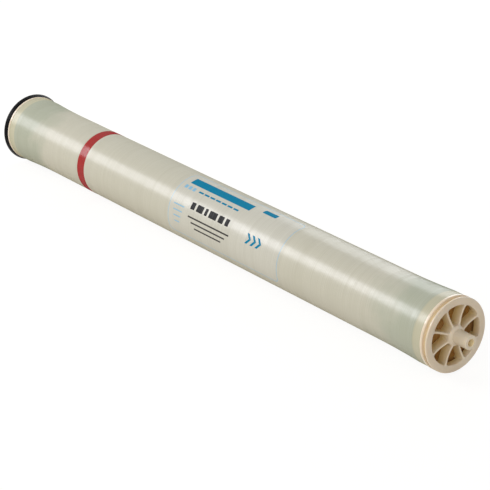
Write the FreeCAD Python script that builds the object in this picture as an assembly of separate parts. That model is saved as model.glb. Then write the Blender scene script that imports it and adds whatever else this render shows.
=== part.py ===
import FreeCAD, Part
import math
import os
from FreeCAD import Vector

# A spiral-wound reverse osmosis element of the 4 by 40 inch size, in millimetres.
# +X is the axis of the element and the way the feed water flows, +Z is up,
# and the origin is on the axis at the tip of the permeate tube on the feed side.

# Overall sizes of the standard element
element_length = 1016.0
tube_projection = 26.7
tube_end_r = 9.55
tube_body_r = 9.8
tube_bore_r = 5.0
tube_tip_bevel = 0.9

# Permeate holes drilled across the tube, each station a quarter turn on from the last
hole_r = 1.6
hole_stations = 4
hole_end_margin = 150.0

# End cap, one moulding used at both ends. Depths are measured inwards from its open face.
ring_outer_r = 49.85
ring_inner_r = 40.0
ring_bevel = 0.8
front_flange_depth = 2.5
groove_end_depth = 8.1
groove_floor_r = 46.0
ring_rear_depth = 11.0
rear_flange_depth = 12.0
skirt_depth = 27.0
skirt_outer_r = 48.0
hub_outer_r = 13.3
hub_rise = 1.0
hub_nose_length = 3.7
hub_nose_r = 10.4
spoke_count = 8
spoke_phase = 23.6
spoke_thickness = 2.7
spoke_depth = 15.0
spoke_dish = 2.0
window_outer_round = 3.2
window_inner_round = 1.8

# Roll of membrane leaves and feed spacers, wound on the carrier that covers the tube.
# The sheets are drawn thicker than life, so each has fewer turns than a real one.
leaf_count = 5
arcs_per_leaf = 11
carrier_outer_r = 11.0
roll_outer_r = 45.0
roll_clearance = 0.05
leaf_share = 0.45

# Layers over the roll
tape_outer_r = 45.3
wrap_outer_r = 47.3
shoulder_r = 49.4
shoulder_depth = 34.0
flare_depth = 110.0

# Brine seal, a cup of rubber in the groove of the feed cap, its lip open to the feed
seal_lip_r = 52.66
seal_lip_depth = 1.4
seal_side_gap = 0.1
seal_heel_r = 50.6
seal_valley_r = 50.2
seal_valley_depth = 6.6

# Coloured band wound round the shell, and the label film laid on it.
# The label's angles run from straight up towards -Y.
band_start = 224.0
band_end = 241.5
band_outer_r = 47.45
label_start = 452.0
label_end = 697.0
label_outer_r = 47.4
label_first_angle = -8.0
label_last_angle = 118.0

tube_end_length = tube_projection - hub_nose_length
feed_face = tube_projection
brine_face = element_length - tube_projection
roll_start = feed_face + spoke_depth
roll_end = brine_face - spoke_depth

axis_start = Vector(0, 0, 0)
axis_direction = Vector(1, 0, 0)


def polar(radius, degrees):
    """A point in the plane across the axis. The angle runs from +Y towards +Z."""
    angle = math.radians(degrees)
    return Vector(0, radius * math.cos(angle), radius * math.sin(angle))


def line(start, end):
    return Part.LineSegment(start, end).toShape()


def arc(start, middle, end):
    return Part.Arc(start, middle, end).toShape()


def revolved(edges):
    """Turns a closed outline, drawn in the X and Z plane, once round the axis."""
    face = Part.Face(Part.Wire(edges))
    return face.revolve(axis_start, axis_direction, 360)


def outline(corners):
    """Straight edges through (x, radius) corners, closed back to the first."""
    points = [Vector(x, 0, radius) for x, radius in corners]
    return [line(points[i - 1], points[i]) for i in range(len(points))]


def turned_ring(start, end, inner_r, outer_r):
    return revolved(outline([(start, inner_r), (end, inner_r), (end, outer_r), (start, outer_r)]))


def permeate_tube():
    """The central tube, its ends turned to size and bevelled, with holes through its wall under the roll."""
    bevel = tube_tip_bevel
    half = [
        (bevel / 2, tube_bore_r),
        (0, tube_bore_r + bevel / 2),
        (0, tube_end_r - bevel),
        (bevel, tube_end_r),
        (tube_end_length, tube_end_r),
        (tube_end_length, tube_body_r),
    ]
    other_half = [(element_length - x, radius) for x, radius in reversed(half)]
    tube = revolved(outline(half + other_half))
    first = roll_start + hole_end_margin
    pitch = (roll_end - hole_end_margin - first) / (hole_stations - 1)
    for station in range(hole_stations):
        across = polar(1, 90 * station)
        start = Vector(first + pitch * station, 0, 0) - across * (2 * tube_body_r)
        tube = tube.cut(Part.makeCylinder(hole_r, 4 * tube_body_r, start, across))
    return tube


def window_corner(round_r, circle_r, side, outer):
    """One round corner of a window: its ends on the spoke and on the circle, with its middle between."""
    half_pitch = 180.0 / spoke_count
    along_spoke = spoke_phase + half_pitch + side * half_pitch
    into_window = along_spoke - side * 90
    centre_r = circle_r - round_r if outer else circle_r + round_r
    away = spoke_thickness / 2 + round_r
    along = math.sqrt(centre_r**2 - away**2)
    centre = polar(along, along_spoke) + polar(away, into_window)
    on_spoke = centre - polar(round_r, into_window)
    on_circle = centre * (circle_r / centre_r)
    bulge = (on_spoke + on_circle) * 0.5 - centre
    bulge.normalize()
    return [on_spoke, centre + bulge * round_r, on_circle]


def window():
    """What is open between two neighbouring spokes, right through the web."""
    outer_left = window_corner(window_outer_round, ring_inner_r, 1, True)
    outer_right = window_corner(window_outer_round, ring_inner_r, -1, True)
    inner_left = window_corner(window_inner_round, hub_outer_r, 1, False)
    inner_right = window_corner(window_inner_round, hub_outer_r, -1, False)
    middle = spoke_phase + 180.0 / spoke_count
    edges = [
        line(inner_right[0], outer_right[0]),
        arc(*outer_right),
        arc(outer_right[2], polar(ring_inner_r, middle), outer_left[2]),
        arc(*reversed(outer_left)),
        line(outer_left[0], inner_left[0]),
        arc(*inner_left),
        arc(inner_left[2], polar(hub_outer_r, middle), inner_right[2]),
        arc(*reversed(inner_right)),
    ]
    face = Part.Face(Part.Wire(edges))
    face.translate(Vector(-2 * spoke_depth, 0, 0))
    return face.extrude(Vector(3 * spoke_depth, 0, 0))


def dish():
    """What is scooped from the front of one spoke, a long hollow from the hub to the ring."""
    inner = Vector(hub_rise, 0, hub_outer_r)
    outer = Vector(0, 0, ring_inner_r)
    middle = (inner + outer) * 0.5 - Vector(spoke_dish, 0, 0)
    above = Vector(hub_nose_length, 0, 0)
    edges = [
        arc(inner, middle, outer),
        line(outer, outer + above),
        line(outer + above, inner + above),
        line(inner + above, inner),
    ]
    face = Part.Face(Part.Wire(edges))
    face.translate(Vector(0, -hub_outer_r / 2, 0))
    scoop = face.extrude(Vector(0, hub_outer_r, 0))
    scoop.rotate(axis_start, axis_direction, spoke_phase - 90)
    return scoop


def end_cap():
    """One cap, its open face on x = 0 and its outside towards +X.

    The ring has a groove for the seal between two flanges, and behind it a skirt that
    holds the roll's end. Eight spokes carry the hub, reach the roll and keep its sheets
    from sliding out.
    """
    ring_and_web = [
        (hub_rise, hub_outer_r),
        (0, ring_inner_r),
        (0, ring_outer_r - ring_bevel),
        (-ring_bevel, ring_outer_r),
        (-front_flange_depth, ring_outer_r),
        (-front_flange_depth, groove_floor_r),
        (-groove_end_depth, groove_floor_r),
        (-groove_end_depth, ring_outer_r),
        (-rear_flange_depth, ring_outer_r),
        (-rear_flange_depth, skirt_outer_r),
        (-skirt_depth, skirt_outer_r),
        (-skirt_depth, roll_outer_r),
        (-ring_rear_depth, roll_outer_r),
        (-ring_rear_depth, ring_inner_r),
        (-spoke_depth, ring_inner_r),
        (-spoke_depth, tube_body_r),
        (hub_nose_length, tube_body_r),
        (hub_nose_length, hub_nose_r),
    ]
    cap = revolved(outline(ring_and_web))
    for index in range(spoke_count):
        for tool in (window(), dish()):
            tool.rotate(axis_start, axis_direction, 360.0 * index / spoke_count)
            cap = cap.cut(tool)
    return cap


def wound_sheet(index, inner_share, outer_share):
    """A long sheet wound round the carrier, one of a set that starts evenly round the tube.

    The spiral is drawn with equal arcs, one for each leaf in a turn. Their centres go round
    the corners of a small polygon with as many sides as there are leaves, so that every arc
    is concentric with those above and below it and the sheets lie face to face. The two
    shares say which part of one leaf's depth in the roll the sheet fills.
    """
    step = 360.0 / leaf_count
    layer = (roll_outer_r - roll_clearance - carrier_outer_r) / (arcs_per_leaf + 1)
    corner_r = layer / (2 * math.sin(math.radians(step / 2)))
    first_r = carrier_outer_r + layer / 2

    def arc_points(number, share):
        """Start, middle and end of one arc, its radius larger by a layer than the arc before."""
        start = step * number
        centre = polar(corner_r, start + step / 2 + 90)
        radius = first_r + layer * (number + share)
        return [centre + polar(radius, start + turn) for turn in (0, step / 2, step)]

    inner = [arc_points(number, inner_share) for number in range(arcs_per_leaf)]
    outer = [arc_points(number, outer_share) for number in range(arcs_per_leaf)]
    edges = [arc(*points) for points in inner]
    edges.append(line(inner[-1][2], outer[-1][2]))
    edges += [arc(*reversed(points)) for points in reversed(outer)]
    edges.append(line(outer[0][0], inner[0][0]))
    face = Part.Face(Part.Wire(edges))
    face.rotate(axis_start, axis_direction, step * index)
    face.translate(Vector(roll_start, 0, 0))
    return face.extrude(Vector(roll_end - roll_start, 0, 0))


def wrap_profile(face, inwards):
    """Half of the shell's outline, from its inner corner at a skirt's end out to the flare's foot."""
    skirt_end = face + inwards * skirt_depth
    wrap_end = face + inwards * rear_flange_depth
    shoulder = Vector(face + inwards * shoulder_depth, 0, shoulder_r)
    foot = Vector(face + inwards * flare_depth, 0, wrap_outer_r)
    quarter_rise = Vector(0, 0, (shoulder.z - foot.z) / 4)
    on_flare = Vector((foot.x + shoulder.x) / 2, 0, foot.z) + quarter_rise
    walk = [
        Vector(skirt_end, 0, tape_outer_r),
        Vector(skirt_end, 0, skirt_outer_r),
        Vector(wrap_end, 0, skirt_outer_r),
        Vector(wrap_end, 0, shoulder_r),
        shoulder,
    ]
    edges = [line(walk[i], walk[i + 1]) for i in range(len(walk) - 1)]
    edges.append(arc(shoulder, on_flare, foot))
    return walk[0], edges, foot


def outer_wrap():
    """The glass-fibre shell. It swells over the skirts of both caps and stops at their rear flanges."""
    feed_corner, feed_edges, feed_foot = wrap_profile(feed_face, 1)
    brine_corner, brine_edges, brine_foot = wrap_profile(brine_face, -1)
    edges = feed_edges + brine_edges
    edges.append(line(feed_foot, brine_foot))
    edges.append(line(feed_corner, brine_corner))
    return revolved(Part.sortEdges(edges)[0])


def brine_seal():
    """A cup seal in the feed cap's groove, its lip leaning out over the flange towards the feed."""
    front = feed_face + front_flange_depth + seal_side_gap
    back = feed_face + groove_end_depth - seal_side_gap
    return revolved(
        outline(
            [
                (back, groove_floor_r),
                (front, groove_floor_r),
                (front, seal_valley_r),
                (feed_face + seal_valley_depth, seal_valley_r),
                (feed_face + seal_lip_depth, seal_lip_r),
                (back, seal_heel_r),
            ]
        )
    )


def label_film():
    """A thin printed film laid on the shell, on the side that faces the viewer."""
    section = Part.Face(
        Part.Wire(
            outline(
                [
                    (label_start, wrap_outer_r),
                    (label_end, wrap_outer_r),
                    (label_end, label_outer_r),
                    (label_start, label_outer_r),
                ]
            )
        )
    )
    section.rotate(axis_start, axis_direction, label_first_angle)
    return section.revolve(axis_start, axis_direction, label_last_angle - label_first_angle)


def brine_end_cap():
    cap = end_cap()
    cap.translate(Vector(brine_face, 0, 0))
    return cap


def feed_end_cap():
    """The same moulding, turned to face the other way."""
    cap = end_cap()
    cap.rotate(axis_start, Vector(0, 0, 1), 180)
    cap.translate(Vector(feed_face, 0, 0))
    return cap


def roll_tape():
    """The tape that keeps the roll closed while the shell is wound, from one skirt to the other."""
    start = feed_face + skirt_depth
    return turned_ring(start, brine_face - skirt_depth, roll_outer_r, tape_outer_r)


def save(name, shape):
    shape.exportStep(f"parts/{name}.step")


os.makedirs("parts", exist_ok=True)
save("permeate_tube", permeate_tube())
save("tube_carrier", turned_ring(roll_start, roll_end, tube_body_r, carrier_outer_r))
for leaf in range(leaf_count):
    save(f"membrane_leaf_{leaf + 1}", wound_sheet(leaf, 0, leaf_share))
    save(f"feed_spacer_{leaf + 1}", wound_sheet(leaf, leaf_share, 1))
save("roll_tape", roll_tape())
save("outer_wrap", outer_wrap())
save("feed_end_cap", feed_end_cap())
save("brine_end_cap", brine_end_cap())
save("brine_seal", brine_seal())
save("red_band", turned_ring(band_start, band_end, wrap_outer_r, band_outer_r))
save("label_film", label_film())
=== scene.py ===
# %% [markdown]
# # A reverse osmosis membrane element
#
# The element is a metre-long roll of membrane under a glass-fibre shell. A moulded cap with
# eight spokes closes each end, a plastic tube runs through the middle, and a black cup seal
# sits in a groove at the feed end. The engineering model is loaded as a fixed frame. Each
# visible surface is then built round it as a smooth shape of its own, and gets a finish.

# %% Load the frame and keep its box
import math

import bpy
import numpy as np
from mathutils import Matrix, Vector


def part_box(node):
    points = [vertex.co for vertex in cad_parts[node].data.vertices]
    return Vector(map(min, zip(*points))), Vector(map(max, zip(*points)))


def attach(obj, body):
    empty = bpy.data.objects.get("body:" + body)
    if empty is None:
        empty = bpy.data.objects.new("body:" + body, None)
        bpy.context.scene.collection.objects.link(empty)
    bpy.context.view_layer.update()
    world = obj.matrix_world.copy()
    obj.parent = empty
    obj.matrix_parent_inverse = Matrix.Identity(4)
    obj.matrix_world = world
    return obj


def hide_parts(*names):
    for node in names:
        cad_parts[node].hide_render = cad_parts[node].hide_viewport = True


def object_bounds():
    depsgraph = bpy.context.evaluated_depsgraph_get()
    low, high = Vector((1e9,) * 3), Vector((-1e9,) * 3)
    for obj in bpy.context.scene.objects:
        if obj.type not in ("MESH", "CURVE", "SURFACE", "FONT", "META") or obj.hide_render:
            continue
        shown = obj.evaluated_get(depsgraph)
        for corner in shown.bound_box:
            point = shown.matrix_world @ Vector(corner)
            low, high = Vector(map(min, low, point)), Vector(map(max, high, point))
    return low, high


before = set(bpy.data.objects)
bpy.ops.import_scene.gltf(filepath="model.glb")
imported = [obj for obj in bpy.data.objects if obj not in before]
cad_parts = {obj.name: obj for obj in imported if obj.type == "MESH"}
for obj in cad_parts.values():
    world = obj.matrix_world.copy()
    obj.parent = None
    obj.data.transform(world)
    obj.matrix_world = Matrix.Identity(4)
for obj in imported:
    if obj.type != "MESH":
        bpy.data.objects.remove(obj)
cad_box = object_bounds()
MM = 0.001
print("nodes in the frame:", len(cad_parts))

# %% [markdown]
# ## Sizes
#
# The frame gives each piece's lowest and highest corner, so most sizes are read from there.
# The +X axis is the element's axis. Only what a box can't say is written as a number:
# the depths of the cap's steps, the rounding of its edges and the pitch of the windings.

# %% Sizes read from the frame, in millimetres


def limits(node):
    """The lowest and highest corner of one node, in millimetres."""
    low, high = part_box(node)
    return np.array(low) / MM, np.array(high) / MM


def end_and_radius(node):
    """Where a round piece starts and ends along the axis, and its outer radius."""
    low, high = limits(node)
    return low[0], high[0], high[2]


tube_start, tube_end, tube_body_r = end_and_radius("permeate_tube")
shell_start, shell_end, shoulder_r = end_and_radius("outer_wrap")
roll_start, roll_end, carrier_r = end_and_radius("tube_carrier")
feed_tip, _, cap_r = end_and_radius("feed_end_cap")
_, brine_tip, _ = end_and_radius("brine_end_cap")
seal_start, seal_end, lip_r = end_and_radius("brine_seal")
band_start, band_end, band_r = end_and_radius("red_band")
tape_start, tape_end, tape_r = end_and_radius("roll_tape")
label_start, label_end, label_r = end_and_radius("label_film")
film_thickness, nose_length = 0.1, 3.7
shell_r = label_r - film_thickness
feed_face = feed_tip + nose_length
brine_face = brine_tip - nose_length
print(f"element {tube_end - tube_start:.0f} mm long, {2 * cap_r:.1f} mm across the caps")

# %% [markdown]
# ## A grid becomes a mesh
#
# Every new surface here is a function of two parameters: one runs along or round an outline,
# and the other carries it round the axis or along a path. The function gives a whole grid of
# points at once, and this helper joins neighbours into four-sided faces. Some pieces are
# several closed skins in one object, such as a cap with its spokes, so skins are stacked.

# %% Turn grids of points into pieces
sharp_from = math.radians(40)


def skin(points, close_rows=True, close_columns=True):
    """Points and faces of one grid.

    Point (i, j) is joined to (i + 1, j), (i + 1, j + 1) and (i, j + 1). A closed direction
    joins its last line back to the first. Where the rows stay open, the first and last row
    are each filled with one flat face, so that the skin is closed.
    """
    rows, columns = points.shape[:2]
    i = np.arange(rows if close_rows else rows - 1)[:, None]
    j = np.arange(columns if close_columns else columns - 1)[None, :]
    below, right = (i + 1) % rows, (j + 1) % columns
    corners = [i * columns + j, below * columns + j, below * columns + right, i * columns + right]
    quads = np.stack(np.broadcast_arrays(*corners), axis=-1).reshape(-1, 4)
    faces = quads.tolist()
    if not close_rows and close_columns:
        faces.append(list(range(columns)))
        faces.append(list(range(rows * columns - 1, (rows - 1) * columns - 1, -1)))
    return points.reshape(-1, 3), faces


def enclosed(points, faces):
    """Six times the volume inside a skin: the sum of a x b . c over its triangles."""
    fans = [(f[0], f[k], f[k + 1]) for f in faces for k in range(1, len(f) - 1)]
    a, b, c = (points[np.array(fans)[:, k]] for k in range(3))
    return np.einsum("ij,ij->i", np.cross(a, b), c).sum()


def in_scene(name, data):
    """A new object in the scene."""
    obj = bpy.data.objects.new(name, data)
    bpy.context.scene.collection.objects.link(obj)
    return obj


def piece(name, skins, slot, *nodes):
    """One object made of closed skins, faces outwards. It stands for any nodes that are named."""
    all_points, all_faces, first = [], [], 0
    for points, faces in skins:
        if enclosed(points, faces) < 0:
            faces = [face[::-1] for face in faces]
        all_faces += [[first + corner for corner in face] for face in faces]
        all_points.append(points)
        first += len(points)
    mesh = bpy.data.meshes.new(name)
    mesh.from_pydata(np.concatenate(all_points) * MM, [], all_faces)
    mesh.shade_smooth()
    mesh.set_sharp_from_angle(angle=sharp_from)
    obj = in_scene(name, mesh)
    if nodes:
        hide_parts(*nodes)
    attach(obj, "root")
    print(f"{name}: {len(mesh.polygons)} faces")
    return obj


print(f"edges over {math.degrees(sharp_from):.0f} degrees stay sharp")

# %% [markdown]
# ## Turned shapes with soft edges
#
# Most of the element is round about one axis: the shell, the tube, the seal, the caps' rims.
# Each is an outline in the plane of x and radius, carried once round. A moulded or turned edge
# is never perfectly sharp, and the thin bright line on a rounded edge is what makes plastic
# look real, so each corner of an outline is replaced by a small arc before it is turned.

# %% Round an outline's corners, and carry it round the axis
corner_steps = 5


def rounded(corners, radii, steps=corner_steps):
    """A closed outline with each corner replaced by a circular arc.

    The arc touches both sides at radius * tan(turn / 2) from the corner. It is the rational
    curve of the two touching points and the corner, with the weight cos(turn / 2), which is
    exactly circular.
    """
    corner = np.asarray(corners, float)
    radius = np.broadcast_to(np.asarray(radii, float), len(corner))[:, None]
    back = np.roll(corner, 1, axis=0) - corner
    ahead = np.roll(corner, -1, axis=0) - corner
    back /= np.linalg.norm(back, axis=1, keepdims=True)
    ahead /= np.linalg.norm(ahead, axis=1, keepdims=True)
    half_turn = (math.pi - np.arccos(np.clip((back * ahead).sum(axis=1), -1, 1))) / 2
    reach = radius * np.tan(half_turn)[:, None]
    weight = np.cos(half_turn)[:, None, None]
    t = np.linspace(0, 1, steps)[None, :, None]
    start, end = (corner + back * reach)[:, None], (corner + ahead * reach)[:, None]
    parts = (1 - t) ** 2, 2 * t * (1 - t) * weight, t**2
    curve = (parts[0] * start + parts[1] * corner[:, None] + parts[2] * end) / sum(parts)
    return curve.reshape(-1, 2)


def turned(profile, segments=192):
    """A closed outline of (x, radius) carried round the axis: the point (x, r cos a, r sin a)."""
    x, r = np.asarray(profile, float).T[:, :, None]
    angle = np.linspace(0, 2 * math.pi, segments, endpoint=False)[None, :]
    y, z = r * np.cos(angle), r * np.sin(angle)
    return skin(np.stack(np.broadcast_arrays(x, y, z), axis=-1))


print(f"a square with round corners has {len(rounded([(0, 0), (4, 0), (4, 4), (0, 4)], 1))} points")

# %% [markdown]
# ## Small helpers for materials
#
# A material is a small graph of nodes. These helpers add a node with its settings in one line.
# The effects that several finishes share, such as fine winding lines or moulding mottle, are
# node groups that are built once and placed in each material with their own values.

# %% Node helpers


def feed(tree, node, values):
    """Gives each input its value: a socket is linked, and anything else is set on the input."""
    for name, value in values.items():
        if isinstance(value, bpy.types.NodeSocket):
            tree.links.new(value, node.inputs[name])
        else:
            node.inputs[name].default_value = value


def add_node(tree, kind, inputs=None, **settings):
    """A new node with its settings and inputs."""
    node = tree.nodes.new(kind)
    for name, value in settings.items():
        setattr(node, name, value)
    feed(tree, node, inputs or {})
    return node


def math_node(tree, operation, a, b=0.0):
    """One step of arithmetic on a, and on b where the operation takes two numbers."""
    return add_node(tree, "ShaderNodeMath", {0: a, 1: b}, operation=operation).outputs[0]


def ramped(tree, value, start=0.0, end=1.0, first=0.0, last=1.0):
    """first where the value is at start, last where it is at end, and level beyond them."""
    ends = {0: value, 1: start, 2: end, 3: first, 4: last}
    return add_node(tree, "ShaderNodeMapRange", ends).outputs[0]


def noise(tree, place, scale, detail):
    """Soft random clouds from 0 to 1."""
    values = {"Vector": place, "Scale": scale, "Detail": detail}
    return add_node(tree, "ShaderNodeTexNoise", values).outputs["Fac"]


def bumped(tree, height, distance, strength):
    """The normal of a surface that rises by the distance where the height goes from 0 to 1."""
    values = {"Height": height, "Distance": distance, "Strength": strength}
    return add_node(tree, "ShaderNodeBump", values).outputs["Normal"]


def axes(tree, place):
    """The x, y and z of a place."""
    return add_node(tree, "ShaderNodeSeparateXYZ", {0: place}).outputs


def from_axis(tree, parts):
    """The distance from the x axis: the root of y squared plus z squared."""
    y, z = (math_node(tree, "POWER", parts[k], 2.0) for k in (1, 2))
    return math_node(tree, "SQRT", math_node(tree, "ADD", y, z))


def blend_colours(tree, factor, first, second):
    """The first colour where the factor is 0, the second where it is 1."""
    sockets = {0: factor, 6: first, 7: second}
    return add_node(tree, "ShaderNodeMix", sockets, data_type="RGBA").outputs[2]


def colour(red, green, blue):
    """A screen colour from 0 to 255 as the linear colour a shader works with."""
    screen = np.array([red, green, blue]) / 255
    linear = np.where(screen <= 0.04045, screen / 12.92, ((screen + 0.055) / 1.055) ** 2.4)
    return (*linear.tolist(), 1.0)


def new_material(name):
    """An empty material with its shader, and the place on the object that patterns read."""
    material = bpy.data.materials.new(name)
    material.use_nodes = True
    tree = material.node_tree
    shader = tree.nodes["Principled BSDF"]
    place = add_node(tree, "ShaderNodeTexCoord").outputs["Object"]
    return material, tree, shader, place


def new_group(name, inputs, outputs):
    """A shader node group with named inputs, each with its usual value, and named outputs."""
    group = bpy.data.node_groups.new(name, "ShaderNodeTree")
    for socket_name, kind, value in inputs:
        socket = group.interface.new_socket(socket_name, in_out="INPUT", socket_type=kind)
        if value is not None:
            socket.default_value = value
    for socket_name, kind in outputs:
        group.interface.new_socket(socket_name, in_out="OUTPUT", socket_type=kind)
    given = group.nodes.new("NodeGroupInput")
    result = group.nodes.new("NodeGroupOutput")
    return group, given.outputs, result.inputs


def use_group(tree, group, **values):
    """Places a group in a material. A name's underscores stand for spaces."""
    inputs = {name.replace("_", " "): value for name, value in values.items()}
    return add_node(tree, "ShaderNodeGroup", inputs, node_tree=group).outputs


def dress(obj, material):
    """Gives an object one material, in every slot it has."""
    if not obj.data.materials:
        obj.data.materials.append(material)
    for index in range(len(obj.data.materials)):
        obj.data.materials[index] = material


VALUE, TINT, VECTOR = "NodeSocketFloat", "NodeSocketColor", "NodeSocketVector"
print("node helpers ready")

# %% [markdown]
# ## Shared effect: winding lines
#
# The shell, the red band and the tape are wound, so fine threads run round them at right angles
# to the length. A thread is a helix: one turn further round is one pitch further along. A sine
# of the turn number gives a ridge for each thread. Noise makes the threads wander and fade, and
# noise stretched round the axis adds hairs. The group gives the threads as a mask and as a
# bumped normal, which breaks the long highlight into the fine cross lines of the real shell.

# %% Build the winding lines group
round_axis_stretch, broad_per_metre, wander_turns, thread_depth = 7.0, 40.0, 3.0, 0.28
hair_detail, broad_detail = 3.0, 2.0


def build_winding_lines():
    inputs = [
        ("Place", VECTOR, None),
        ("Threads per metre", VALUE, 330.0),
        ("Hairs per metre", VALUE, 500.0),
        ("Height", VALUE, 0.00005),
        ("Strength", VALUE, 0.5),
    ]
    outputs = [("Mask", VALUE), ("Broad", VALUE), ("Normal", VECTOR)]
    group, given, result = new_group("winding lines", inputs, outputs)
    parts = axes(group, given["Place"])

    def stretched_noise(per_metre, detail):
        """Noise that changes quickly along the axis and slowly round it."""
        scales = {0: per_metre, 1: round_axis_stretch, 2: round_axis_stretch}
        factors = {0: given["Place"], 1: add_node(group, "ShaderNodeCombineXYZ", scales).outputs[0]}
        place = add_node(group, "ShaderNodeVectorMath", factors, operation="MULTIPLY").outputs[0]
        return noise(group, place, 1.0, detail)

    hairs = stretched_noise(given["Hairs per metre"], hair_detail)
    broad = stretched_noise(broad_per_metre, broad_detail)
    round_axis = math_node(group, "ARCTAN2", parts[1], parts[2])
    turns = math_node(group, "MULTIPLY", parts[0], given["Threads per metre"])
    turns = math_node(group, "ADD", turns, math_node(group, "DIVIDE", round_axis, 2 * math.pi))
    turns = math_node(group, "ADD", turns, math_node(group, "MULTIPLY", broad, wander_turns))
    thread = math_node(group, "SINE", math_node(group, "MULTIPLY", turns, 2 * math.pi))
    thread = math_node(group, "MULTIPLY", math_node(group, "MULTIPLY", thread, thread_depth), broad)
    mask = math_node(group, "ADD", hairs, thread)
    group.links.new(mask, result["Mask"])
    group.links.new(broad, result["Broad"])
    group.links.new(bumped(group, mask, given["Height"], given["Strength"]), result["Normal"])
    return group


winding_lines = build_winding_lines()
print("group:", winding_lines.name)

# %% [markdown]
# ## Shared effect: moulding mottle
#
# Moulded plastic and rubber are never one flat colour. Soft clouds a few centimetres wide vary
# the tone a little, and a fine grain gives the surface its slight unevenness.

# %% Build the mottle group
cloud_detail, grain_detail, grain_strength = 4.0, 2.0, 0.5


def build_mottle():
    inputs = [
        ("Place", VECTOR, None),
        ("Light", TINT, (0.8, 0.8, 0.8, 1)),
        ("Dark", TINT, (0.6, 0.6, 0.6, 1)),
        ("Cloud scale", VALUE, 40.0),
        ("Grain scale", VALUE, 1500.0),
        ("Grain height", VALUE, 0.00001),
    ]
    group, given, result = new_group("mottle", inputs, [("Colour", TINT), ("Normal", VECTOR)])
    clouds = noise(group, given["Place"], given["Cloud scale"], cloud_detail)
    grain = noise(group, given["Place"], given["Grain scale"], grain_detail)
    share = ramped(group, clouds, start=0.3, end=0.7)
    group.links.new(blend_colours(group, share, given["Light"], given["Dark"]), result["Colour"])
    group.links.new(bumped(group, grain, given["Grain height"], grain_strength), result["Normal"])
    return group


mottle = build_mottle()
print("group:", mottle.name)

# %% [markdown]
# ## The shell
#
# Glass fibre soaked in clear resin is wound over the roll and over the skirts of both caps.
# Over most of its length it is a plain cylinder. Towards each end it flares out in a long
# shallow curve, runs level over the skirt, and stops square against the cap's rear flange. The
# flare is part of a parabola: its height above the cylinder grows with the square of the
# distance from its foot, which is as good as a circular arc where the curve is this shallow.

# %% Build the shell
flange_depth, skirt_depth, shoulder_depth, flare_depth = 12.0, 27.0, 34.0, 110.0
skirt_r, roll_r, shell_edge_round = 48.0, 45.0, 0.4
flare_points, straight_points, shell_segments = 24, 60, 256


def flare(depth):
    """Radius of the shell at a depth from a cap's face.

    The radius stays level at the foot of the flare and rises faster and faster: with s running
    from 0 at the foot to 1 at the shoulder, it has risen by s squared of the whole rise.
    """
    s = np.clip((flare_depth - depth) / (flare_depth - shoulder_depth), 0, 1)
    return shell_r + (shoulder_r - shell_r) * s * s


def shell_profile():
    """The closed outline: out along the flares and the cylinder, and back along the tape."""
    depths = np.linspace(shoulder_depth, flare_depth, flare_points)
    feed_side = np.stack([feed_face + depths, flare(depths)], axis=1)
    brine_side = np.stack([brine_face - depths[::-1], flare(depths[::-1])], axis=1)
    foot, other_foot = feed_face + flare_depth, brine_face - flare_depth
    straight_x = np.linspace(foot, other_foot, straight_points)[1:-1]
    straight = np.stack([straight_x, np.full_like(straight_x, shell_r)], axis=1)
    further_along = (feed_face + shoulder_depth, shoulder_r)
    corners = [(shell_start, skirt_r), (shell_start, shoulder_r), further_along]
    feed_edge = rounded(corners, shell_edge_round)[corner_steps : 2 * corner_steps]
    mirrored_x = shell_start + shell_end - feed_edge[::-1, 0]
    brine_edge = np.stack([mirrored_x, feed_edge[::-1, 1]], axis=1)
    inside = [
        (shell_end, skirt_r), (tape_end, skirt_r), (tape_end, tape_r),
        (tape_start, tape_r), (tape_start, skirt_r), (shell_start, skirt_r),
    ]
    return np.concatenate([feed_edge, feed_side, straight, brine_side, brine_edge, inside])


shell = piece("wound_shell", [turned(shell_profile(), shell_segments)], "outer_wrap", "outer_wrap")

# %% [markdown]
# The shell is the largest surface in the picture. Its resin is clear and slightly yellow, so it
# takes the colour of what is under it: cream over the caps' skirts, grey green just inside
# them, and a warm grey over the roll. The cream stops at a clean line where the skirt ends.
# Resin soaks in unevenly, so green and grey meet in a ragged edge: a ramp along the length
# gives them, and noise shifts the place it reads. The winding lines streak all of it, and a
# clear coat gives the gloss. The coat is duller on the raised lines, which breaks the long
# highlight into strokes, and duller towards the feed end. Its weight falls towards the outline
# of the shell, because the real resin doesn't mirror its surroundings strongly there.

# %% The gloss of the resin
coat_ior, coat_roughness = 1.75, 0.27
full_gloss_until, no_gloss_from = 0.47, 0.96
feed_end_gloss, raised_line_gloss = 0.62, 0.5
dulling_from, dulled_from = 0.38, 0.68


def fading_gloss(tree, full):
    """A coat's weight that falls from full to nothing as the surface turns away."""
    turned_away = add_node(tree, "ShaderNodeLayerWeight", {"Blend": 0.5}).outputs["Facing"]
    return ramped(tree, turned_away, full_gloss_until, no_gloss_from, full, 0.0)


def resin_gloss(tree, place, lines):
    """The coat's weight: less on raised lines, to the feed end and where it turns away."""
    raised = ramped(tree, lines["Mask"], dulling_from, dulled_from, 1.0, raised_line_gloss)
    start, end = shell_start * MM, shell_end * MM
    along = ramped(tree, axes(tree, place)[0], start, end, feed_end_gloss, 1.0)
    gloss = math_node(tree, "MULTIPLY", fading_gloss(tree, 1.0), raised)
    return math_node(tree, "MULTIPLY", along, gloss)


print(f"gloss at the feed end: {feed_end_gloss:.0%} of that at the brine end")

# %% The shell's finish
cream, green, beige = colour(194, 189, 160), colour(175, 178, 157), colour(200, 196, 177)
feed_green_end, feed_beige_start, brine_beige_end, brine_green_start = 40, 85, 95, 28
ragged_scale, ragged_detail, ragged_reach, cream_edge = 28.0, 3.0, 0.09, 2.5
winding_height, winding_strength, winding_contrast = 0.00009, 0.6, 0.3
darker_line, smoother_skirt = (0.66, 0.66, 0.62), 0.08


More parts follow.
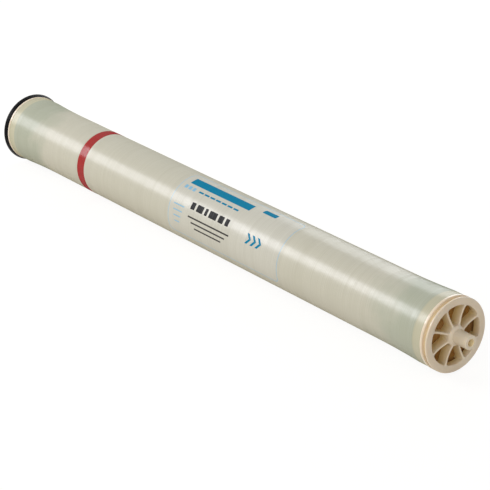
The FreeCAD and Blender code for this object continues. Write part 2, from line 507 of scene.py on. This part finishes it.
def ramp_along(tree, x, stops):
    """Colours along the x axis. Stops are (x in millimetres, colour)."""
    first, last = stops[0][0], stops[-1][0]
    ramp = add_node(tree, "ShaderNodeValToRGB", {0: ramped(tree, x, first * MM, last * MM)})
    band = ramp.color_ramp
    while len(band.elements) < len(stops):
        band.elements.new(0.5)
    for element, (position, tint) in zip(band.elements, stops):
        element.position = (position - first) / (last - first)
        element.color = tint
    return ramp.outputs[0]


def shell_lines(tree, place):
    """The winding lines of the shell, and how strongly their colour shows."""
    values = {"Place": place, "Height": winding_height, "Strength": winding_strength}
    lines = use_group(tree, winding_lines, **values)
    return lines, ramped(tree, lines["Mask"], start=0.3, end=0.7, last=winding_contrast)


def resin_shell():
    material, tree, shader, place = new_material("wound glass fibre in clear resin")
    along = axes(tree, place)[0]
    patches = math_node(tree, "SUBTRACT", noise(tree, place, ragged_scale, ragged_detail), 0.5)
    ragged = math_node(tree, "ADD", along, math_node(tree, "MULTIPLY", patches, ragged_reach))
    over_roll = ramp_along(tree, ragged, [
        (shell_start, green),
        (tape_start + feed_green_end, green),
        (tape_start + feed_beige_start, beige),
        (tape_end - brine_beige_end, beige),
        (tape_end - brine_green_start, green),
        (shell_end, green),
    ])
    middle, half_roll = (tape_start + tape_end) / 2, (tape_end - tape_start) / 2
    from_middle = math_node(tree, "ABSOLUTE", math_node(tree, "SUBTRACT", along, middle * MM))
    over_skirt = ramped(tree, from_middle, half_roll * MM, (half_roll + cream_edge) * MM)
    base = blend_colours(tree, over_skirt, over_roll, cream)
    lines, contrast = shell_lines(tree, place)
    darker = add_node(tree, "ShaderNodeVectorMath", {0: base, 1: darker_line}, operation="MULTIPLY")
    rough = ramped(tree, lines["Broad"], first=0.34, last=0.46)
    smoother = math_node(tree, "MULTIPLY", over_skirt, smoother_skirt)
    feed(tree, shader, {
        "Base Color": blend_colours(tree, contrast, base, darker.outputs[0]),
        "Normal": lines["Normal"],
        "Roughness": math_node(tree, "SUBTRACT", rough, smoother),
        "Coat Weight": resin_gloss(tree, place, lines),
        "Coat Roughness": coat_roughness,
        "Coat IOR": coat_ior,
        "Specular IOR Level": 0.0,
        "IOR": 1.52,
    })
    return material


shell_finish = resin_shell()
dress(shell, shell_finish)
print("shell finished:", shell_finish.name)

# %% [markdown]
# ## The end caps
#
# Each cap is one moulding in ivory plastic. Its rim has two flanges with the seal's groove
# between them and a skirt that goes into the shell. Its hub runs out into a nose round the
# tube. Eight spokes join the two. The rim and the hub are turned outlines. A spoke is a
# rounded bar carried outwards: its front edge is hollowed between hub and rim, and it grows
# wider at both ends to run into them with round corners.

# %% Build one cap at the origin, its outside towards +X
spoke_count, spoke_phase, spoke_thickness, spoke_depth, spoke_dish = 8, 23.6, 2.7, 15.0, 2.0
rim_inner_r, groove_r, hub_r, nose_r, hub_rise = 40.0, 46.0, 13.3, 10.4, 1.0
front_flange, groove_end, web_depth, hub_segments = 2.5, 8.1, 11.0, 96
rim_outline = [
    (0, rim_inner_r), (0, cap_r), (-front_flange, cap_r), (-front_flange, groove_r),
    (-groove_end, groove_r), (-groove_end, cap_r), (-flange_depth, cap_r),
    (-flange_depth, skirt_r), (-skirt_depth, skirt_r), (-skirt_depth, roll_r),
    (-web_depth, roll_r), (-web_depth, rim_inner_r),
]
rim_radii = [0.9, 1.3, 0.5, 0.3, 0.3, 0.7, 0.3, 0.1, 0.5, 0.3, 0.3, 0.6]
hub_outline = [
    (-spoke_depth, tube_body_r), (nose_length, tube_body_r), (nose_length, nose_r),
    (hub_rise, hub_r), (-spoke_depth, hub_r),
]
hub_radii = [0.1, 0.2, 0.6, 1.9, 0.3]
rim_round, hub_round, spoke_edge_round, spoke_back_round, spoke_round_steps = 3.2, 1.8, 0.95, 0.3, 7
spoke_overlap, spoke_set_back, just_short = 0.8, 0.02, 0.999
hub_steps, dish_steps, rim_steps = 14, 22, 22


def spoke(number):
    """One spoke: its section is scaled across by half_width(r) and moved in depth by front(r).

    front(r) runs straight from the hub's rise to the rim, less a parabola of the dish's depth.
    half_width(r) is half the thickness plus, near each end, R - sqrt(R squared - d squared), with
    R the round of the window's corner and d the distance into it.
    """
    reach = np.concatenate([
        np.linspace(hub_r - spoke_overlap, hub_r + hub_round, hub_steps),
        np.linspace(hub_r + hub_round, rim_inner_r - rim_round, dish_steps)[1:-1],
        np.linspace(rim_inner_r - rim_round, rim_inner_r + spoke_overlap, rim_steps),
    ])
    share = np.clip((reach - hub_r) / (rim_inner_r - hub_r), 0, 1)
    front = hub_rise * (1 - share) - 4 * spoke_dish * share * (1 - share)
    into_rim = np.clip(reach - (rim_inner_r - rim_round), 0, rim_round * just_short)
    into_hub = np.clip(hub_r + hub_round - reach, 0, hub_round * just_short)
    half = spoke_thickness / 2
    half_width = (
        half
        + rim_round - np.sqrt(rim_round**2 - into_rim**2)
        + hub_round - np.sqrt(hub_round**2 - into_hub**2)
    )
    back, front_edge = -spoke_depth, -spoke_set_back
    corners = [(back, -half), (front_edge, -half), (front_edge, half), (back, half)]
    rounds = [spoke_back_round, spoke_edge_round, spoke_edge_round, spoke_back_round]
    section = rounded(corners, rounds, spoke_round_steps)
    x = section[None, :, 0] + front[:, None] * (section[None, :, 0] + spoke_depth) / spoke_depth
    across = section[None, :, 1] * half_width[:, None] / half
    angle = math.radians(spoke_phase + number * 360 / spoke_count)
    y = reach[:, None] * math.cos(angle) - across * math.sin(angle)
    z = reach[:, None] * math.sin(angle) + across * math.cos(angle)
    return skin(np.stack([x, y, z], axis=-1), close_rows=False)


def cap_skins():
    """The rim, the hub and the spokes of one cap."""
    rim = turned(rounded(rim_outline, rim_radii))
    hub = turned(rounded(hub_outline, hub_radii), hub_segments)
    return [rim, hub] + [spoke(number) for number in range(spoke_count)]


def placed(skins, face, turned_round):
    """Skins moved to a cap's place, and for the feed end first turned half round the z axis."""
    sign = -1.0 if turned_round else 1.0
    return [(points * [sign, sign, 1] + [face, 0, 0], faces) for points, faces in skins]


brine_skins = placed(cap_skins(), brine_face, turned_round=False)
feed_skins = placed(cap_skins(), feed_face, turned_round=True)
brine_cap = piece("brine_cap_moulding", brine_skins, "end_cap", "brine_end_cap")
feed_cap = piece("feed_cap_moulding", feed_skins, "end_cap", "feed_end_cap")

# %% [markdown]
# The caps are ivory plastic with a satin skin. Inside the rim, the colour is painted warmer and a
# little darker with the depth behind the face. This is painted warm light and shade, standing in
# for light that passes through and between the thin walls. The tube gets the same, with a paler
# colour painted in its bore as a glow of light through its wall. A little subsurface scattering
# softens thin parts, and a clear coat draws fine highlights. The coat fades where a face turns
# away, as on the shell, so that the rims keep their ivory.

# %% The caps' and the tube's finish
# Where the painted recess light and shade starts and is full: radii inside the rim and the bore,
# and depths behind the face.
inside_rim_start, inside_rim_full, inside_bore_start, inside_bore_full = 46.8, 45.8, 5.4, 5.0
recess_start, recess_full, painted_recess_share, ivory_gloss = 0.5, 11.0, 0.9, 0.8


def ivory_plastic(name, light, dark, painted_recess_light_and_shade, roughness):
    """Ivory, with painted warm light and shade deeper into the recesses inside the rim, and in the
    bore.
    """
    material, tree, shader, place = new_material(name)
    tone = use_group(tree, mottle, Place=place, Light=light, Dark=dark, Cloud_scale=30.0)
    parts = axes(tree, place)
    radius = from_axis(tree, parts)
    middle, half_length = (feed_face + brine_face) / 2, (brine_face - feed_face) / 2
    from_middle = math_node(tree, "ABSOLUTE", math_node(tree, "SUBTRACT", parts[0], middle * MM))
    into = math_node(tree, "SUBTRACT", half_length * MM, from_middle)
    # Painted light and shade: the recess colour takes over with the depth behind the face inside
    # the rim, and in the bore.
    recess = ramped(tree, into, recess_start * MM, recess_full * MM, 0.0, painted_recess_share)
    inward = ramped(tree, radius, inside_rim_start * MM, inside_rim_full * MM)
    bore = ramped(tree, radius, inside_bore_start * MM, inside_bore_full * MM)
    share = math_node(tree, "MAXIMUM", math_node(tree, "MULTIPLY", recess, inward), bore)
    feed(tree, shader, {
        "Base Color": blend_colours(tree, share, tone["Colour"], painted_recess_light_and_shade),
        "Normal": tone["Normal"],
        "Roughness": roughness,
        "Specular IOR Level": 0.15,
        "Coat Weight": fading_gloss(tree, ivory_gloss),
        "Coat Roughness": 0.13,
        "Subsurface Weight": 0.15,
        "Subsurface Radius": (1.0, 0.8, 0.5),
        "Subsurface Scale": 0.003,
    })
    return material


# The last colour is the painted warm light and shade of the cap's recesses.
cap_finish = ivory_plastic(
    "ivory cap plastic",
    light=colour(238, 222, 198), dark=colour(229, 211, 185), painted_recess_light_and_shade=colour(234, 212, 152),
    roughness=0.34,
)
dress(brine_cap, cap_finish)
dress(feed_cap, cap_finish)
print("caps finished:", cap_finish.name)

# %% [markdown]
# ## The tube
#
# The tube that collects the product water stands out of both caps. Its ends are turned and
# bevelled, and its open bore shows at the near end, so the outline runs out along the
# surface and back along the bore.

# %% Build and finish the tube
tube_bore_r, tube_end_r, tip_bevel, turned_length, tube_segments = 5.0, 9.55, 0.9, 23.0, 96
tube_rounds = [0.35, 0.3, 0.3, 0.03, 0.03]


def tube_profile():
    """The closed outline: the bore, the bevelled tip and the turned end, and then the other end."""
    turned_end = tube_start + turned_length
    half = [
        (tube_start, tube_bore_r), (tube_start, tube_end_r - tip_bevel),
        (tube_start + tip_bevel, tube_end_r), (turned_end, tube_end_r), (turned_end, tube_body_r),
    ]
    other = [(tube_start + tube_end - x, r) for x, r in reversed(half)]
    return rounded(half + other, tube_rounds + tube_rounds[::-1])


tube_skin = turned(tube_profile(), tube_segments)
tube = piece("product_water_tube", [tube_skin], "permeate_tube", "permeate_tube")
# The last colour is the painted glow of light in the tube's bore.
tube_finish = ivory_plastic(
    "ivory tube plastic",
    light=colour(238, 226, 204), dark=colour(231, 216, 190), painted_recess_light_and_shade=colour(255, 238, 200),
    roughness=0.33,
)
dress(tube, tube_finish)

# %% [markdown]
# ## The brine seal
#
# A ring of black rubber lies in the feed cap's groove. It has a thick foot in the groove, and a
# thin lip that leans out past the flange and is open to the feed side. Water pressure opens the
# lip against the vessel. All its corners are soft, as on moulded rubber.

# %% Build and finish the seal
foot_front, lip_root, foot_r, back_r = feed_face + 2.6, feed_face + 6.6, 50.2, 50.6
seal_corners = [
    (seal_end, groove_r), (foot_front, groove_r), (foot_front, foot_r), (lip_root, foot_r),
    (seal_start, lip_r), (seal_end, back_r),
]
seal_rounds = [0.3, 0.3, 0.35, 0.5, 0.05, 0.8]
seal = piece("cup_seal", [turned(rounded(seal_corners, seal_rounds))], "brine_seal", "brine_seal")


def black_rubber():
    material, tree, shader, place = new_material("black rubber")
    light, dark = colour(11, 11, 12), colour(5, 5, 6)
    tone = use_group(
        tree, mottle, Place=place, Light=light, Dark=dark, Grain_scale=2500.0, Grain_height=0.00002
    )
    feed(tree, shader, {
        "Base Color": tone["Colour"],
        "Normal": tone["Normal"],
        "Roughness": 0.36,
        "Specular IOR Level": 0.08,
    })
    return material


dress(seal, black_rubber())
print(f"seal lip {2 * lip_r:.1f} mm across")

# %% [markdown]
# ## The red band
#
# A strip of red thread is wound round the shell near the feed end. Its threads lie side by
# side, so its outline is a row of small ridges. They are real geometry: each ridge is one
# half wave of a sine, and the whole band is one turned outline. A clear coat lies over it.

# %% Build and finish the band
thread_count, steps_per_thread, thread_height, band_segments = 22, 8, 0.05, 224
seat_depth, band_gloss = 0.1, 0.75


def band_profile():
    """The closed outline, with a back a little under the shell's surface.

    With s running from 0 to 1 along the band, the radius outside is the band's own, less the
    height of a ridge, plus that height * |sin(pi * threads * s)|.
    """
    share = np.linspace(0, 1, thread_count * steps_per_thread + 1)
    ridges = band_r - thread_height + thread_height * np.abs(np.sin(math.pi * thread_count * share))
    outer = np.stack([band_start + share * (band_end - band_start), ridges], axis=1)
    seat_r = shell_r - seat_depth
    return np.concatenate([outer, [(band_end, seat_r), (band_start, seat_r)]])


band = piece("wound_red_band", [turned(band_profile(), band_segments)], "red_band", "red_band")


def red_thread():
    material, tree, shader, place = new_material("red thread under resin")
    lines = use_group(
        tree, winding_lines, Place=place,
        Threads_per_metre=1260.0, Hairs_per_metre=1500.0, Height=0.00003,
    )
    share = ramped(tree, lines["Mask"], start=0.35, end=0.7)
    feed(tree, shader, {
        "Base Color": blend_colours(tree, share, colour(152, 6, 4), colour(172, 28, 22)),
        "Normal": lines["Normal"],
        "Roughness": 0.3,
        "Specular IOR Level": 0.0,
        "Coat Weight": math_node(tree, "MULTIPLY", resin_gloss(tree, place, lines), band_gloss),
        "Coat Roughness": 0.17,
        "Coat IOR": coat_ior,
    })
    return material


dress(band, red_thread())
print("band finished")

# %% [markdown]
# ## The roll behind the spokes
#
# Leaves and spacers are wound in a spiral and cut square at both ends, where the caps' windows
# show them. The sheets of the frame stay as they are. Over each end of the roll lies a thin
# face with a fine spiral relief, as the edges of the real sheets are thinner than the frame's.

# %% Build the fine relief of the roll's ends
relief_depth, relief_margin, relief_segments = 0.25, 0.2, 160
sheet_pitch, steps_per_pitch = 0.7, 6


def roll_face(x, outwards):
    """A flat ring with a spiral relief.

    Its depth is relief * (0.5 + 0.5 cos(2 pi (r / pitch + angle / 2 pi))), so the crests form
    one spiral whose turns are a pitch apart. A flat back closes it.
    """
    r = np.arange(carrier_r, roll_r - relief_margin, sheet_pitch / steps_per_pitch)[:, None]
    angle = np.linspace(0, 2 * math.pi, relief_segments, endpoint=False)[None, :]
    height = relief_depth * (0.5 + 0.5 * np.cos(2 * math.pi * r / sheet_pitch + angle))

    def ring(x, r):
        return np.stack(np.broadcast_arrays(x, r * np.cos(angle), r * np.sin(angle)), axis=-1)

    return skin(np.concatenate([ring(x + outwards * height, r), ring(x, r[[-1, 0]])]))


roll_faces = [roll_face(roll_end, 1), roll_face(roll_start, -1)]
roll_ends = piece("roll_end_relief", roll_faces, "membrane")


def wound_sheet_ends(name, light, dark):
    """Rings of noise about the axis and soft clouds, so that the layers differ a little."""
    material, tree, shader, place = new_material(name)
    rings = {"W": from_axis(tree, axes(tree, place)), "Scale": 900.0, "Detail": 2.0}
    layers = add_node(tree, "ShaderNodeTexNoise", rings, noise_dimensions="1D").outputs["Fac"]
    clouds = noise(tree, place, scale=60.0, detail=2.0)
    both = math_node(tree, "MULTIPLY", math_node(tree, "ADD", layers, clouds), 0.5)
    share = ramped(tree, both, start=0.35, end=0.65)
    feed(tree, shader, {"Base Color": blend_colours(tree, share, light, dark), "Roughness": 0.6})
    return material


dress(roll_ends, wound_sheet_ends("amber sheet edges", colour(186, 136, 62), colour(132, 90, 34)))
leaf_finish = wound_sheet_ends("membrane leaf", colour(214, 202, 172), colour(180, 160, 120))
spacer_finish = wound_sheet_ends("spacer net", colour(196, 186, 160), colour(150, 134, 98))
for node_name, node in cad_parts.items():
    if node_name.startswith("membrane_leaf"):
        dress(node, leaf_finish)
    if node_name.startswith("feed_spacer"):
        dress(node, spacer_finish)
print("roll ends and sheets finished")

# %% [markdown]
# The carrier cloth and the tape are hidden in the roll, but every piece gets its own finish:
# the cloth a white knit with fine ribs, and the tape an amber film with faint winding lines.

# %% Finish the hidden nodes


def carrier_cloth():
    material, tree, shader, place = new_material("knitted carrier cloth")
    wave = {"Vector": place, "Scale": 400.0, "Distortion": 0.6}
    ribs = add_node(tree, "ShaderNodeTexWave", wave, bands_direction="Y").outputs["Fac"]
    tint = blend_colours(tree, ribs, colour(236, 234, 226), colour(206, 202, 190))
    feed(tree, shader, {"Base Color": tint, "Roughness": 0.85})
    return material


def amber_tape():
    material, tree, shader, place = new_material("clear amber tape")
    lines = use_group(tree, winding_lines, Place=place, Threads_per_metre=60.0)
    tint = blend_colours(tree, lines["Mask"], colour(214, 192, 140), colour(190, 164, 108))
    feed(tree, shader, {"Base Color": tint, "Roughness": 0.25})
    return material


dress(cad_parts["tube_carrier"], carrier_cloth())
dress(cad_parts["roll_tape"], amber_tape())
print("hidden nodes finished")

# %% [markdown]
# ## The label
#
# A printed film lies on the shell. It is clear and a little milky, so its ground is slightly
# paler than the shell. What shows is its print: a thin pale blue frame with round corners, and
# plain blue and black shapes inside. The film is a patch of a cylinder. Its flat measures are u
# along the element and v round it. The print reads these from a UV map, so that each shape is
# placed as on a drawing of the flat film.

# %% Build the label film
label_first_angle, label_last_angle = -8.0, 118.0
label_columns, label_rows = 160, 96
label_length = label_end - label_start
label_height = math.radians(label_last_angle - label_first_angle) * label_r


def label_skin():
    """The film: u along and v round it give the point (x, -r sin a, r cos a).

    Here x = the film's start + u, and a = its first angle + v / r. A back a little under the
    shell's surface closes it.
    """
    x = np.linspace(label_start, label_end, label_columns)[None, :]
    angle = np.radians(np.linspace(label_first_angle, label_last_angle, label_rows))[:, None]

    def sheet(r):
        return np.stack(np.broadcast_arrays(x, -r * np.sin(angle), r * np.cos(angle)), axis=-1)

    return np.concatenate([sheet(label_r), sheet(shell_r - seat_depth)[::-1]])


def closed_sheet(points):
    """The skin of a folded grid. Its rows close on themselves, and quads fill both open sides."""
    rows, columns = points.shape[:2]
    vertices, faces = skin(points, close_columns=False)
    half = rows // 2
    row = np.arange(half - 1)
    for column, flip in ((0, False), (columns - 1, True)):
        a, b = row * columns + column, (row + 1) * columns + column
        c, d = (rows - 2 - row) * columns + column, (rows - 1 - row) * columns + column
        sides = np.stack([a, d, c, b] if not flip else [a, b, c, d], axis=-1)
        faces += sides.tolist()
    return vertices, faces


label = piece("label_print_film", [closed_sheet(label_skin())], "label_film", "label_film")


def flat_map(obj):
    """A UV map in which u and v are the film's own flat measures, in metres."""
    mesh = obj.data
    points = np.empty(len(mesh.vertices) * 3)
    mesh.vertices.foreach_get("co", points)
    x, y, z = points.reshape(-1, 3).T
    corner = np.empty(len(mesh.loops), dtype=np.int32)
    mesh.loops.foreach_get("vertex_index", corner)
    v = (np.arctan2(-y, z) - math.radians(label_first_angle)) * label_r * MM
    uv = np.stack([x - label_start * MM, v], axis=1)[corner]
    mesh.uv_layers.new(name="flat film").data.foreach_set("uv", uv.ravel())


flat_map(label)
print(f"label film {label_length:.0f} by {label_height:.0f} mm")

# %% [markdown]
# Each printed shape is one box with soft edges, or one leaning box. A node group works out
# how far a point is inside a box, and gives 1 inside and 0 outside with an edge as soft as
# ink. Shapes are then laid over each other like stencils.

# %% Build the stencil group
ink_edge = 0.15


def build_stencil():
    inputs = [
        ("U", VALUE, 0.0),
        ("V", VALUE, 0.0),
        ("Middle U", VALUE, 0.0),
        ("Middle V", VALUE, 0.0),
        ("Half width", VALUE, 10.0),
        ("Half height", VALUE, 5.0),
        ("Round", VALUE, 0.5),
        ("Lean", VALUE, 0.0),
    ]
    group, given, result = new_group("stencil", inputs, [("Inside", VALUE)])
    v = math_node(group, "SUBTRACT", given["V"], given["Middle V"])
    lean = math_node(group, "MULTIPLY", v, given["Lean"])
    u = math_node(group, "ADD", math_node(group, "SUBTRACT", given["U"], given["Middle U"]), lean)
    beyond = []
    for value, half in ((u, given["Half width"]), (v, given["Half height"])):
        inner = math_node(group, "SUBTRACT", half, given["Round"])
        past = math_node(group, "SUBTRACT", math_node(group, "ABSOLUTE", value), inner)
        beyond.append(math_node(group, "MAXIMUM", past, 0.0))
    squares = [math_node(group, "MULTIPLY", value, value) for value in beyond]
    distance = math_node(group, "SQRT", math_node(group, "ADD", squares[0], squares[1]))
    depth = math_node(group, "SUBTRACT", given["Round"], distance)
    group.links.new(ramped(group, depth, -ink_edge, ink_edge), result["Inside"])
    return group


stencil = build_stencil()
print("group:", stencil.name)

# %% [markdown]
# The layout is plain: a blue block with three pale blocks and a dashed line under it, a
# round-cornered blue field, a row of black blocks, thin grey and pale rules, and three arrow
# heads that show the way of the flow.

# %% Draw the label
ink_blue, ink_pale = colour(0, 126, 162), colour(138, 186, 212)
ink_black, ink_grey = colour(9, 9, 9), colour(58, 56, 54)
block_widths, block_gap = (9, 14, 6, 17, 11, 8), 4


def label_shapes():
    """Every shape: middle u, middle v, half width, half height, round, all in mm, lean and ink."""
    shapes = [(80, 17, 66, 6.5, 0.8, 0.0, ink_blue), (180, 12, 14, 4.0, 2.0, 0.0, ink_blue)]
    shapes += [(14 + 9 * k, 31, 3.0, 3.0, 0.6, 0.0, ink_pale) for k in range(3)]
    shapes += [(48 + 13 * k, 31, 5.2, 1.4, 0.3, 0.0, ink_blue) for k in range(7)]
    left = 46
    for width in block_widths:
        shapes.append((left + width / 2, 53, width / 2, 5.2, 1.0, 0.0, ink_black))
        left += width + block_gap
    shapes += [(92, 69 + 7 * k, 46 - 8 * k, 1.1, 0.3, 0.0, ink_grey) for k in range(3)]
    shapes += [(22, 60 + 8 * k, 12 - 2 * k, 0.8, 0.3, 0.0, ink_pale) for k in range(4)]
    for k in range(3):
        for side in (-1, 1):
            shapes.append((178 + 11 * k, 60 + 3.6 * side, 2.4, 3.6, 0.2, side * 0.9, ink_blue))
    return shapes


print(len(label_shapes()), "shapes on the label")

# %% Print the label
frame_inset, frame_width, frame_corner, frame_inner_corner = 1.0, 0.9, 9.0, 8.2
ink_gloss = 0.2


def printed_film():
    material, tree, shader, place = new_material("printed label film")
    flat = axes(tree, add_node(tree, "ShaderNodeUVMap", uv_map="flat film").outputs[0])
    u, v = (math_node(tree, "DIVIDE", flat[k], MM) for k in (0, 1))
    lines, contrast = shell_lines(tree, place)
    tint = blend_colours(tree, contrast, colour(205, 202, 187), colour(167, 164, 148))

    def stamp(middle_u, middle_v, half_width, half_height, corner, lean):
        return use_group(
            tree, stencil, U=u, V=v, Middle_U=middle_u, Middle_V=middle_v,
            Half_width=half_width, Half_height=half_height, Round=corner, Lean=lean,
        )["Inside"]

    def field(inset, corner):
        """A round-cornered field as large as the film, less the inset on every side."""
        half_u, half_v = label_length / 2, label_height / 2
        return stamp(half_u, half_v, half_u - inset, half_v - inset, corner, 0.0)

    outer = field(frame_inset, frame_corner)
    inner = field(frame_inset + frame_width, frame_inner_corner)
    tint = blend_colours(tree, math_node(tree, "SUBTRACT", outer, inner), tint, ink_pale)
    inked = 0.0
    for *measures, ink in label_shapes():
        inside = stamp(*measures)
        tint = blend_colours(tree, inside, tint, ink)
        inked = math_node(tree, "MAXIMUM", inside, inked)
    dull_ink = ramped(tree, inked, first=1.0, last=ink_gloss)
    feed(tree, shader, {
        "Base Color": tint,
        "Normal": lines["Normal"],
        "Roughness": 0.4,
        "Coat Weight": math_node(tree, "MULTIPLY", dull_ink, resin_gloss(tree, place, lines)),
        "Coat Roughness": coat_roughness,
        "Coat IOR": coat_ior,
        "Specular IOR Level": 0.0,
    })
    return material


dress(label, printed_film())
print("label printed")

# %% [markdown]
# ## Floor, light and camera
#
# The element lies on a plain white ground. The floor is a real surface, so it keeps a soft
# shadow, and it is lifted to white for the camera and in reflections. So are the surroundings,
# which fill the shadows at a little under half strength. The gloss of the shell fades towards
# its outline, so it stays darker than the ground. Three soft lamps light the element. A long
# one beyond the feed end is mirrored in the shell as the bright streak. One behind the element
# gives the paler sheen on top near the brine end. One in front lights the brine cap's face.

# %% Floor
floor_level = cad_box[0][2]
floor_size, floor_glow, floor_lift = 12.0, 1.13, 0.8
WHITE = (1, 1, 1, 1)


def sees_white(tree):
    """1 for the camera, in reflections and through clear things, and 0 for light on the object."""
    path = add_node(tree, "ShaderNodeLightPath").outputs
    mirrored = math_node(tree, "MAXIMUM", path["Is Glossy Ray"], path["Is Transmission Ray"])
    return math_node(tree, "MAXIMUM", path["Is Camera Ray"], mirrored)


def pale_floor():
    mesh = bpy.data.meshes.new("floor")
    half = floor_size / 2
    corners = [(x * half, y * half, floor_level) for x, y in ((-1, -1), (1, -1), (1, 1), (-1, 1))]
    mesh.from_pydata(corners, [], [(0, 1, 2, 3)])
    floor = in_scene("floor", mesh)
    material, tree, shader, _ = new_material("white ground")
    feed(tree, shader, {
        "Base Color": colour(222, 216, 204),
        "Roughness": 0.9,
        "Specular IOR Level": 0.0,
    })
    glow = add_node(tree, "ShaderNodeEmission", {"Color": WHITE, "Strength": floor_glow})
    share = math_node(tree, "MULTIPLY", sees_white(tree), floor_lift)
    sides = {0: share, 1: shader.outputs[0], 2: glow.outputs[0]}
    mix = add_node(tree, "ShaderNodeMixShader", sides)
    feed(tree, tree.nodes["Material Output"], {"Surface": mix.outputs[0]})
    dress(floor, material)


pale_floor()
print("floor at", round(floor_level, 4))

# %% World and lamps
fill_strength = 0.445
middle = (np.array(cad_box[0]) + np.array(cad_box[1])) / 2


def white_surroundings():
    world = bpy.data.worlds.new("white surroundings")
    bpy.context.scene.world = world
    world.use_nodes = True
    tree = world.node_tree
    strength = ramped(tree, sees_white(tree), first=fill_strength, last=1.0)
    feed(tree, tree.nodes["Background"], {"Color": WHITE, "Strength": strength})


def soft_lamp(name, direction, distance, size, power, tint):
    """A rectangular lamp in a direction from the element's middle, which it faces.

    Its first side runs along x as nearly as the direction allows.
    """
    direction = np.array(direction) / np.linalg.norm(direction)
    lamp = bpy.data.lights.new(name, "AREA")
    lamp.shape = "RECTANGLE"
    lamp.size, lamp.size_y = size
    lamp.energy = power
    lamp.color = tint
    side = np.array([1.0, 0, 0]) - direction * direction[0]
    side /= np.linalg.norm(side)
    turn = Matrix(np.stack([side, np.cross(direction, side), direction], axis=1))
    place = middle + direction * distance
    in_scene(name, lamp).matrix_world = Matrix.LocRotScale(place, turn.to_quaternion(), None)


white_surroundings()
soft_lamp(
    "streak lamp", direction=(-0.70, -0.545, 0.425), distance=3.2,
    size=(4.0, 1.15), power=72, tint=(0.94, 0.945, 1.0),
)
soft_lamp(
    "sheen lamp", direction=(-0.70, 1.17, 0.66), distance=1.5,
    size=(0.8, 1.35), power=8.6, tint=(0.95, 0.98, 1.0),
)
soft_lamp(
    "front lamp", direction=(0.66, -0.93, 0.30), distance=2.4,
    size=(2.4, 2.0), power=16.0, tint=(1.0, 0.99, 0.97),
)
print("lamps placed")

# %% Camera
camera_azimuth, camera_elevation = 51.994, 23.05
camera_place = (2.6357, -1.6157, 1.0962)
camera_lens, film_width = 151.8, 36.0


def add_camera():
    camera = bpy.data.cameras.new("camera")
    camera.lens = camera_lens
    camera.sensor_width = film_width
    obj = in_scene("camera", camera)
    obj.location = camera_place
    obj.rotation_euler = (math.radians(90 - camera_elevation), 0, math.radians(camera_azimuth))
    bpy.context.scene.camera = obj


add_camera()
bpy.context.scene.view_settings.view_transform = "Standard"
print(f"camera {math.dist(camera_place, middle):.2f} m from the middle of the element")

# %% [markdown]
# ## End of the scene

# %% End of the scene
print("scene built")
